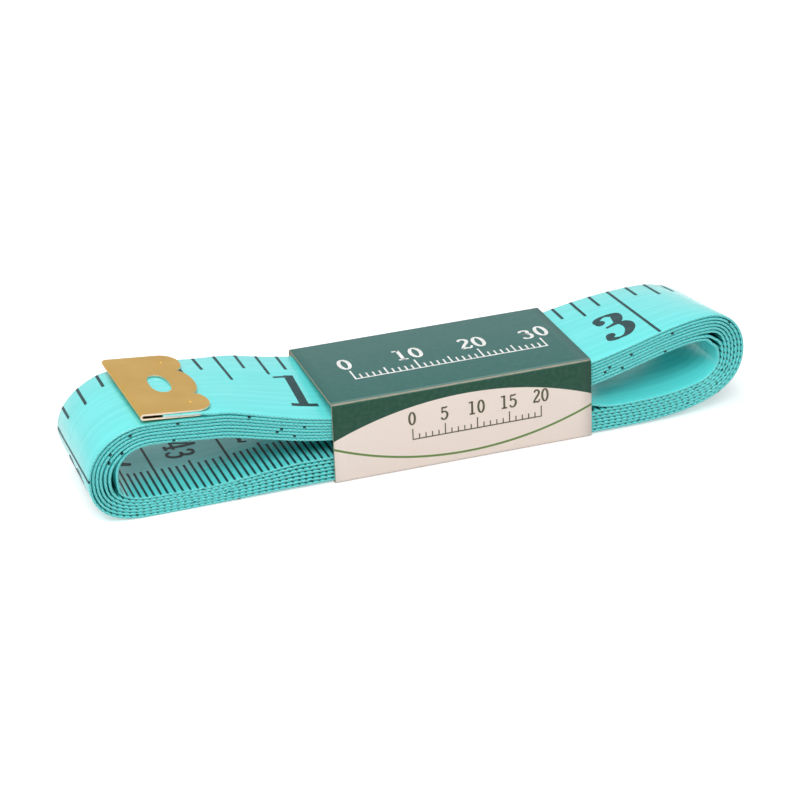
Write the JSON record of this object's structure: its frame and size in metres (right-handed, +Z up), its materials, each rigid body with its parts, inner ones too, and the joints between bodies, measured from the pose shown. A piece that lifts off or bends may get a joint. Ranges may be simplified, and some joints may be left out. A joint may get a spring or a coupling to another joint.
{
  "type": "cloth tape measure",
  "caption": "Flexible coated-cloth tape measure wound into a flat bundle, with folded brass end clips and a printed card sleeve round its middle.",
  "frame": {"origin": "On the table under the middle of the whole bundle.", "axes": "+X along the bundle towards the loop without the clip, +Y towards the back where the sleeve is glued, +Z up."},
  "size_m": [0.1006, 0.0218, 0.016],
  "materials": {
    "coated_tape": "turquoise vinyl coating on woven cloth, glossy",
    "clip_brass": "pressed brass sheet, satin",
    "printed_card": "thin coated card, printed dark green and cream",
    "dry_glue": "dried adhesive"
  },
  "bodies": {
    "coil": {"tape_coil": "coated_tape", "end_clip": "clip_brass"},
    "sleeve": {"card_sleeve": "printed_card", "sleeve_glue": "dry_glue"},
    "free_end": {"tape_free_end": "coated_tape", "start_clip": "clip_brass"}
  },
  "joints": [
    {"name": "sleeve_slide", "type": "slide", "parent": "coil", "child": "sleeve", "axis": [1, 0, 0], "range_m": [0, 0.07], "deforming": ["tape_coil"]},
    {"name": "free_end_lift", "type": "hinge", "parent": "coil", "child": "free_end", "pos_m": [-0.0154, 0, 0.0107], "axis": [0, 1, 0], "range_deg": [0, 75]}
  ]
}
